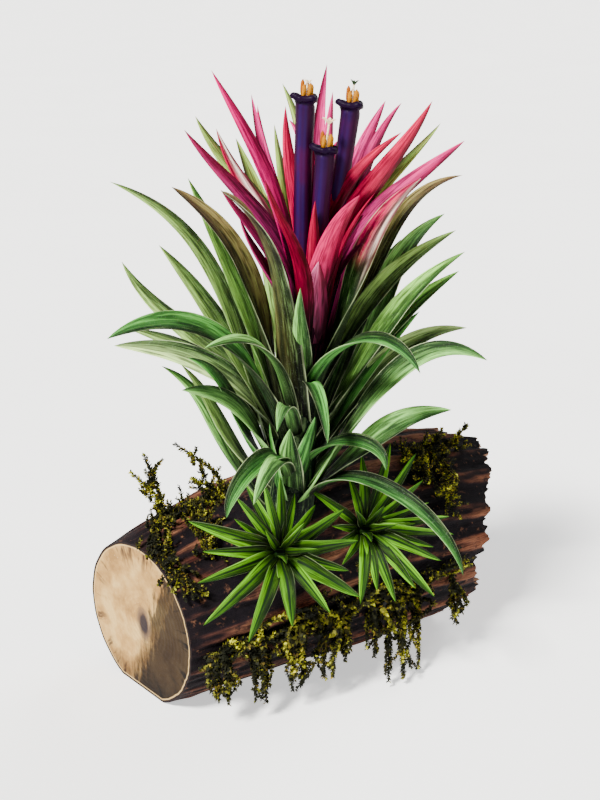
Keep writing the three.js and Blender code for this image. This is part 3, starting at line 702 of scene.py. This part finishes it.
def build_heart():
    core = [(PLANT["heart_radius"], PLANT["green_top"] + GAP),
            (PLANT["heart_radius"] + 0.4, PLANT["heart_top"])]
    back = back_leaves(4, 23, (44, 30, 92), (49, 16, 112), 6, ("rose", "pink"))
    mesh = Mesh()
    turned(mesh, STEM, core, 24, linear((34, 6, 30)))
    for row, seed, finish in seeded(PINK_LEAVES, 300) + seeded(back, 400):
        blade(mesh, STEM, row, 4.2, ROOT_WIDTH["pink"], seed, finish, crowd=3.5)
    mesh.piece("pink_heart", [PINK_FINISH])


def build_offset(name, foot, faces, leaves, seed):
    axes = stem(foot, faces, (1, 0, 0))
    roll = dice(seed)
    mesh = Mesh()
    turned(mesh, axes, [(3, -6), (3, 1), (1.2, 5)], 16, linear((6, 26, 8)))
    outer = [(turn, 1 + roll(), reach, 9, 62, -8, width) for turn, reach, width in leaves]
    inner = [(i * 137.5, 2.5, 4 + 5 * roll(), 12 + 3 * roll(), 80, 40, 2.6) for i in range(4)]
    for i, row in enumerate(outer + inner):
        blade(mesh, axes, row, 1.2, ROOT_WIDTH["offset"], seed * 10 + i, "offset", 22, crowd=2.5)
    mesh.piece(name, [YOUNG_FINISH])


# Flowers

def build_tube(number, foot, mouth, height):
    """A violet tube that widens to a rolled lip of three petals, with a bore for the stamens."""
    low = PLANT["heart_top"] + GAP
    throat = height - TUBE["throat"]
    profile = [(TUBE["foot"], low)]
    profile += [(mix(TUBE["foot"], TUBE["waist"], ease(t)), mix(low, throat, 0.35 * t))
                for t in (0.3, 0.6, 1)]
    profile += [(TUBE["waist"], mix(low, throat, t)) for t in (0.5, 0.65, 0.8)]
    profile += [(radius, height + h) for radius, h in LIP]
    profile += [(TUBE["bore"], height - TUBE["bore_depth"])]
    radii, heights = np.array(profile).T
    share = (heights - low) / (height - low)
    bend = 0.5 * ease(share) + 0.5 * share
    rows = np.c_[radii, heights, mix(foot[0], mouth[0], bend), mix(foot[1], mouth[1], bend)]

    a = circle(TUBE["sides"])
    lip = ease((heights - height + 2.6) / 1.4)[:, None]
    lip[-3:] = 0  # inside the tube
    crimp = np.cos(7 * a + number)
    swell = mix(1, 0.85 - 0.18 * np.cos(3 * a) + 0.03 * crimp, lip)
    lift = lip * (0.1 * crimp - 0.3 * np.cos(3 * a))

    # Maroon towards the foot and the sides, and a painted blue-violet highlight where the tube faces
    # front and left, towards the light
    foot_tone, side_tone, highlight_tone, lip_tone = linear(TUBE_TONES)
    share = np.clip(share, 0, 1)[:, None, None]
    facing_light = ease(4 * np.cos(a - radians(250)) - 2.9)[:, None]
    streaky = 0.75 + 0.25 * np.sin(9 * a + 2 * number)[:, None]
    tone = mix(side_tone, highlight_tone, facing_light * streaky * ease(share / 0.45) * 0.85)
    tone = mix(foot_tone, tone, ease(share / 0.5))
    near_lip = np.maximum(lip[..., None], ease((share - 0.86) / 0.08) * 0.5)
    tone = mix(tone, lip_tone, near_lip)
    mesh = Mesh()
    turned(mesh, STEM, rows, TUBE["sides"], tone, swell, number * 3.1, lift)
    mesh.piece(f"flower_{number}", [PETAL_FINISH])


def build_stamens(number, mouth, height, pistil):
    """Stamens on a short column in the tube, and the pistil, which ends in a few curled arms."""
    count = 5
    arms, size, girth = (6, 1.6, 1.5) if number == 3 else (3, 1, 1)
    cream, yellow, amber, green = linear(STAMEN_TONES)
    x, y = mouth
    mesh = Mesh()

    def leaning(turn, rows, reach=1):
        """Rows of radius, height and distance from the flower's axis, as turned takes them."""
        dx, dy = reach * cos(turn), reach * sin(turn)
        return [(radius, h, x + out * dx, y + out * dy) for radius, h, out in rows]

    base = height - TUBE["bore_depth"] + GAP
    column = [(1, base, x + 0.6, y), (1.15, height - 0.4, x, y), (0.8, height + 0.4, x, y)]
    turned(mesh, STEM, column, 12, cream)
    for i in range(count):
        turn = 2 * pi * (i + 0.25) / count
        top = height + 1.3 + (i % 3) * 0.5
        thread = [(0.22, height - 2, 0.5), (0.2, height + 0.6, 0.95), (0.16, top, 1.25)]
        turned(mesh, STEM, leaning(turn, thread), 8, cream)
        anther = [(radius, top + h, out) for radius, h, out in ANTHER]
        turned(mesh, STEM, leaning(turn, anther), 10, amber if i % 3 == 2 else yellow)
    top = height + pistil
    style = [(0.28, height - 2, x, y), (0.24, top, x, y), (0.3, top + 0.3, x, y)]
    turned(mesh, STEM, style, 10, cream)
    for i in range(arms):
        arm = [(0.26 * girth, top, 0), (0.3 * girth, top + 0.6, 0.4), (0.24 * girth, top + 1.1, 0.9),
               (0.1, top + 1.2, 1.3)]
        arm = leaning(2 * pi * i / arms + 0.4, arm, size)
        turned(mesh, STEM, arm, 8, green if number == 2 else cream)
    mesh.piece(f"stamens_{number}", [STAMEN_FINISH])


# The log

ALONG = vec(*heading(LOG["turn"]), 0)
ACROSS = vec(-ALONG[1], ALONG[0], 0)


def log_radius(s):
    t = (s + LOG["near"]) / (LOG["near"] + LOG["far"] + LOG["splinter"])
    return (LOG["near_radius"] * (1 - t) * (1 - 2 * t) + LOG["middle_radius"] * 4 * t * (1 - t)
            + LOG["far_radius"] * t * (2 * t - 1))


def log_point(s, angle, lift=0):
    """A place on the log. The angle runs from the back, over the top, to the front, in radians."""
    s, angle, lift = np.broadcast_arrays(*(np.asarray(v, float) for v in (s, angle, lift)))
    radius = log_radius(s) + lift
    point = ALONG * s[..., None] + ACROSS * (radius * np.cos(angle))[..., None]
    point[..., 2] = log_radius(s) - LOG["flat"] + radius * np.sin(angle)
    return point


def bark(s, angle):
    wander = 0.9 * np.sin(s / 19) + 0.7 * np.sin(2 * angle + 1)
    ridges = 0.55 * np.sin(LOG["ridges"] * angle + wander)
    depth = LOG["ridge_height"] * mix(0.12, 1, ease((s + LOG["near"]) / 20))
    return depth * (ridges - 0.2 + 0.35 * np.sin(3 * angle + s / 12))


def noise_round(angle, fineness, level):
    """Noise from -1 to 1 round the log, at levels that shift it."""
    angle, level = np.broadcast_arrays(angle, level)
    values = [noise.noise(Vector((cos(a) * fineness, sin(a) * fineness, z)))
              for a, z in zip(angle.ravel(), level.ravel())]
    return np.array(values).reshape(angle.shape)


def fibres(s, angle):
    """Finer relief of the bark: long torn strips that break off here and there."""
    strips = noise_round(angle, 9, s * 0.07) + 0.5 * noise_round(angle, 24, s * 0.22)
    strips = strips + 0.35 * np.sin(51 * angle + 2.2 * np.sin(s / 11) + 3 * np.sin(2 * angle))
    return strips * ease((s + LOG["near"]) / 9)


def sawn_face(mesh, rim):
    """Adds rings of points from the bark to the middle, on the plane of the cut."""
    shrink = np.linspace(1, 0.02, 26)[:, None]
    middle = ALONG * -LOG["near"] + vec(0, 0, LOG["near_radius"] - LOG["flat"])
    face = middle + (rim - middle) * shrink[..., None]
    local = face - middle
    place = np.stack(np.broadcast_arrays(local @ ACROSS, local[..., 2], shrink), axis=-1)
    mesh.grid(face[::-1], 0, place[::-1], 1, caps=False)
    mesh.add(face[-1], [tuple(range(len(rim)))], 0, place[-1], 1)


def broken_end(mesh, rim, angle, far_end, core):
    """Adds torn fibres between the outer splinters and a core that broke off shorter."""
    rows = [rim]
    for depth in np.linspace(0.04, 0.97, 22):
        rough = noise_round(angle, (1 - depth) * 20, 2)
        s = mix(far_end, core, ease(depth / 0.4)) + 4.5 * rough * min(1, depth * 6)
        rows.append(log_point(s, angle, -depth * LOG["far_radius"]))
    end = np.array(rows)
    end[..., 2] = np.maximum(end[..., 2], 0)
    mesh.grid(end, 0, 0, 2, caps=False)
    mesh.add(end[-1], [tuple(range(len(rim)))], 0, 0, 2)


def build_log():
    steps, fine = 120, 5  # rings along the log, and points for each point round the solid
    sides = LOG["ridges"] * 4 * fine
    roll = dice(7)
    splinters = np.array([roll() for _ in range(LOG["ridges"] * 2)])
    j = np.arange(sides)
    angle = 2 * pi * j / sides
    saw = tan(radians(LOG["saw_angle"])) * LOG["near_radius"]
    near_end = -LOG["near"] + saw * np.cos(angle)
    jag = splinters[(j // (2 * fine)) % len(splinters)]
    teeth = noise_round(angle, 16, 5) + 0.8 * np.abs(noise_round(angle, 34, 9))
    far_end = (LOG["far"] + LOG["splinter"] * ease(np.sin(angle)) ** 1.5 + 8 * (jag - 0.6)
               + 2.8 * teeth)
    inner_jag = splinters[(j // fine * 5) % len(splinters)]
    core = LOG["far"] + 2 + 3 * np.sin(angle) + 3 * (inner_jag - 0.5)

    s = mix(near_end, far_end, np.linspace(0, 1, steps + 1)[:, None])
    a = np.broadcast_to(angle, s.shape)
    relief, strips = bark(s, a), fibres(s, a)
    points = log_point(s, a, relief + 0.5 * strips)
    points[..., 2] = np.maximum(points[..., 2], 0)
    mesh = Mesh()
    mesh.grid(points, 0, np.stack([a * 2, s, relief + 0.8 * strips], axis=-1), caps=False)
    sawn_face(mesh, points[0])
    broken_end(mesh, points[-1], angle, far_end, core)
    mesh.piece("log", [BARK_FINISH, WOOD_FINISH, TORN_FINISH], 50)


# Moss

MOSS_TONES = linear([(204, 206, 60), (124, 122, 30), (70, 70, 24), (38, 40, 16), (14, 16, 10),
                     (170, 142, 48)])
STALK_TONE = linear((26, 22, 12))


def smooth_path(stops):
    """Points at even steps on a smooth curve through the stops, and the direction at each."""
    stops = np.asarray(stops, float)
    ends = np.vstack([2 * stops[0] - stops[1], stops, 2 * stops[-1] - stops[-2]])
    pieces = []
    for i in range(len(stops) - 1):
        t = np.linspace(0, 1, 12, endpoint=False)[:, None]
        a, b, c, d = ends[i:i + 4]
        pieces.append(0.5 * (2 * b + (c - a) * t + (2 * a - 5 * b + 4 * c - d) * t * t
                             + (3 * b - a - 3 * c + d) * t ** 3))
    curve = np.vstack([*pieces, stops[-1:]])
    length = np.concatenate([[0], np.cumsum(np.linalg.norm(np.diff(curve, axis=0), axis=1))])
    count = max(3, int(length[-1] / MOSS_STEP) + 1)
    at = np.linspace(0, length[-1], count)
    points = np.stack([np.interp(at, length, curve[:, k]) for k in range(3)], axis=1)
    return points, unit(np.gradient(points, axis=0))


def shoot(mesh, stops, rng, size=1, keep_above=0.35, gain=1):
    """A moss shoot: a thin stalk along the stops, with small pointed leaves all round it."""
    points, forward = smooth_path(stops)
    side = unit(np.cross(forward, unit(vec(0.3, 0.5, 0.8) + rng.normal(0, 0.2, 3))))
    other = np.cross(forward, side)
    tone = MOSS_TONES[rng.integers(0, 5)]
    corner = (np.arange(3) * 2 * pi / 3)[:, None]
    ring = side[:, None] * np.cos(corner) + other[:, None] * np.sin(corner)
    taper = np.linspace(1, 0.5, len(points))[:, None, None]
    mesh.grid(points[:, None] + 0.28 * size * taper * ring, STALK_TONE, 0)

    # Each leaf has five corners, and a keel along its middle
    fade = np.linspace(1, 0.6, len(points))
    base, ahead, side, other, fade = (np.repeat(v, LEAVES_IN_WHORL, axis=0)
                                      for v in (points, forward, side, other, fade))
    count = len(base)
    spin = (np.arange(count) * 2.4 + rng.uniform(0, 6))[:, None]
    out = side * np.cos(spin) + other * np.sin(spin)
    reach = (MOSS_LEAF * size * fade * rng.uniform(0.6, 1.1, count))[:, None]
    point_at = unit(out * rng.uniform(0.7, 1.1, (count, 1)) + ahead * 0.75
                    + rng.normal(0, 0.25, (count, 3)))
    across = unit(np.cross(point_at, ahead + 0.01))
    keel = np.cross(across, point_at)
    wide = 0.36 * reach
    middle = base + point_at * (reach * 0.45)
    corners = np.stack([base, middle + across * wide - keel * wide * 0.2, middle + keel * wide * 0.5,
                        middle - across * wide - keel * wide * 0.2, base + point_at * reach], axis=1)
    corners[..., 2] = np.maximum(corners[..., 2], keep_above)
    first = np.arange(count)[:, None] * 5
    faces = np.concatenate([first + np.array([order]) for order in
                            ((0, 1, 2), (0, 2, 3), (1, 4, 2), (2, 4, 3), (0, 3, 1), (1, 3, 4))])
    shade = rng.uniform(0.1, 1.15, count)[:, None] ** 1.7
    pick = MOSS_TONES[rng.integers(0, len(MOSS_TONES), count)]
    tones = np.minimum(mix(tone, pick, 0.5) * shade * gain, 1)
    mesh.add(corners, faces, np.repeat(tones, 5, axis=0), 0)


def creeping(mesh, stops, rng, rows, spread, gain=1):
    """Shoots that creep over the bark side by side, through places along the log and round it."""
    stops = np.asarray(stops, float)
    for k in range(rows):
        shift = rng.uniform(-spread, spread, (len(stops), 2)) * (0 if k == 0 else 1)
        angle = np.radians(stops[:, 1]) + shift[:, 1] / LOG["far_radius"]
        path = log_point(stops[:, 0] + shift[:, 0], angle, 1.2 + rng.uniform(0, 1.4))
        shoot(mesh, path, rng, gain=gain)


def tufts(mesh, stops, rng, count, spread, height, gain=1):
    """Short shoots that stand out of the bark near a creeping line."""
    stops = np.asarray(stops, float)
    for _ in range(count):
        t = rng.uniform(0, len(stops) - 1.001)
        s, angle = mix(stops[int(t)], stops[int(t) + 1], t % 1)
        s = s + rng.normal(0, spread)
        angle = radians(angle) + rng.normal(0, spread) / LOG["far_radius"]
        root, top = log_point([s, s], [angle, angle], [0.3, rng.uniform(0.6, 1.2) * height])
        top = top + rng.normal(0, 1.3, 3) + vec(0, 0, 0.8)
        shoot(mesh, [root, mix(root, top, 0.5) + rng.normal(0, 0.4, 3), top], rng, 0.9, gain=gain)


def hanging_path(s, out, low):
    """The line of a hanging strand, as in the part's source."""
    root = log_point(s, radians(184), 1.8)
    bulge = log_point(s + 1, radians(198), 4)
    middle = bulge + vec(0, -0.6 * out, 0)
    middle[2] = mix(bulge[2], low, 0.5)
    end = bulge + vec(0, -out, 0)
    end[2] = low
    return np.array([root, bulge, middle, end])


def sprig(mesh, s, angle, height, tilt, rng):
    """A standing strand, as in the part's source, with a few shorter branches."""
    root = log_point(s, radians(angle), 1)
    middle = root + vec(tilt * 0.2, 0, 0.5 * height)
    tip = root + vec(tilt, -1, height)
    shoot(mesh, [root, middle, tip], rng, 1.2, gain=1.5)
    for _ in range(8):
        start = mix(root, tip, rng.uniform(0, 0.75))
        lean = vec(rng.normal(0, 2), rng.normal(0, 1.2), rng.uniform(0.15, 0.3) * height)
        shoot(mesh, [start, start + 0.5 * lean + vec(0, 0, 0.4), start + lean], rng, 1, gain=1.5)


def build_front_moss(rng):
    """Moss along the front of the log, with strands that hang from it and clear the floor."""
    clear = 1.2
    mesh = Mesh()
    creeping(mesh, FRONT_MOSS, rng, 5, 4.5)
    creeping(mesh, OFFSET_MOSS, rng, 4, 3)
    tufts(mesh, FRONT_MOSS, rng, 44, 3, 3.6)
    for row in HANGING_MOSS:
        path = hanging_path(*row)
        shoot(mesh, path, rng, 1.25, clear)
        for _ in range(4):
            sway = rng.normal(0, 1, (4, 3)) * np.array([[1.5], [1.7], [1.5], [1]])
            shorter = mix(path[1], path, rng.uniform(0.45, 1)) + sway
            shorter[:, 2] = np.maximum(shorter[:, 2], 2 * clear)
            shoot(mesh, shorter, rng, 1.1, clear)
    mesh.piece("moss_front", [MOSS_FINISH])


def build_moss_patch(name, rng, lines, sprigs, rows, spread, count, gain):
    mesh = Mesh()
    for line in lines:
        creeping(mesh, line, rng, rows, spread, gain)
        tufts(mesh, line, rng, count, 2.2, 4, gain)
    for place in sprigs:
        sprig(mesh, *place, rng)
    mesh.piece(name, [MOSS_FINISH])


# The stage

def make_camera():
    data = bpy.data.cameras.new("camera")
    data.lens = LENS
    data.clip_start, data.clip_end = 0.02, 60
    camera = place_object("camera", data)
    tilt = radians(ELEVATION)
    camera.location = (vec(*LOOK_AT) + DISTANCE * vec(0, -cos(tilt), sin(tilt))) * MM
    camera.rotation_euler = (pi / 2 - tilt, 0, 0)
    bpy.context.scene.camera = camera


def make_sun(name, bearing, height, strength, softness, colour):
    """A soft far light, from a bearing in degrees (0 in front, 90 at the right) and a height."""
    data = bpy.data.lights.new(name, "SUN")
    data.energy = strength
    data.angle = radians(softness)
    data.color = colour
    light = place_object(name, data)
    a, h = radians(bearing), radians(height)
    toward = Vector((sin(a) * cos(h), -cos(a) * cos(h), sin(h)))
    light.rotation_euler = toward.to_track_quat("Z", "Y").to_euler()


def make_floor():
    rings, sides = [0.02, 0.2, 0.6, 2, 6, 14], 64  # radii in metres
    mesh = bpy.data.meshes.new("floor")
    a = circle(sides)
    points = np.concatenate([np.stack([r * np.cos(a), r * np.sin(a), 0 * a], axis=1) for r in rings])
    faces = [tuple(range(sides))]
    for i in range(len(rings) - 1):
        faces += [(i * sides + j, (i + 1) * sides + j, (i + 1) * sides + (j + 1) % sides,
                   i * sides + (j + 1) % sides) for j in range(sides)]
    mesh.from_pydata(points, [], faces)
    mesh.materials.append(floor_material())
    floor = place_object("floor", mesh)


def make_world():
    world = bpy.data.worlds.new("world")
    world.use_nodes = True
    background = world.node_tree.nodes["Background"]
    background.inputs["Color"].default_value = (0.95, 0.97, 1, 1)
    background.inputs["Strength"].default_value = 0.22
    bpy.context.scene.world = world


# For each leaf finish: the streak colour is a painted highlight, shadow a painted shadow colour,
# channel the strength of the painted shade in the channel, and margin that of the pale edges, which
# are partly painted highlight
GREEN_FINISH = leaf_material("green_leaf_finish", streak_highlight=(206, 250, 160), shadow=(36, 56, 50),
                             channel=0.5, margin=0.5, scales=0.04)
PINK_FINISH = leaf_material("pink_leaf_finish", streak_highlight=(255, 60, 150), shadow=(110, 0, 66),
                            channel=0.1, margin=0, scales=0)
YOUNG_FINISH = leaf_material("young_leaf_finish", streak_highlight=(170, 240, 60), shadow=(36, 64, 40),
                             channel=0.9, margin=0.2, scales=0)
PETAL_FINISH = petal_material()
STAMEN_FINISH = stamen_material()
MOSS_FINISH = moss_material()
BARK_FINISH = bark_material()
WOOD_FINISH = wood_material()
TORN_FINISH = torn_material()

make_camera()
build_rosette()
build_heart()
for number, (foot, mouth, height, pistil) in enumerate(FLOWERS, 1):
    build_tube(number, foot, mouth, height)
    build_stamens(number, mouth, height, pistil)
for index, (title, offset) in enumerate(OFFSETS.items()):
    build_offset(title, **offset, seed=60 + index)
build_log()
moss_draw = np.random.default_rng(41)
build_front_moss(moss_draw)
for title, patch in MOSS_PATCHES.items():
    build_moss_patch(title, moss_draw, **patch)
make_floor()
make_world()
make_sun("key", bearing=-42, height=50, strength=10.5, softness=12, colour=(1, 0.98, 0.95))
make_sun("rim", bearing=140, height=40, strength=2, softness=30, colour=(1, 1, 1))
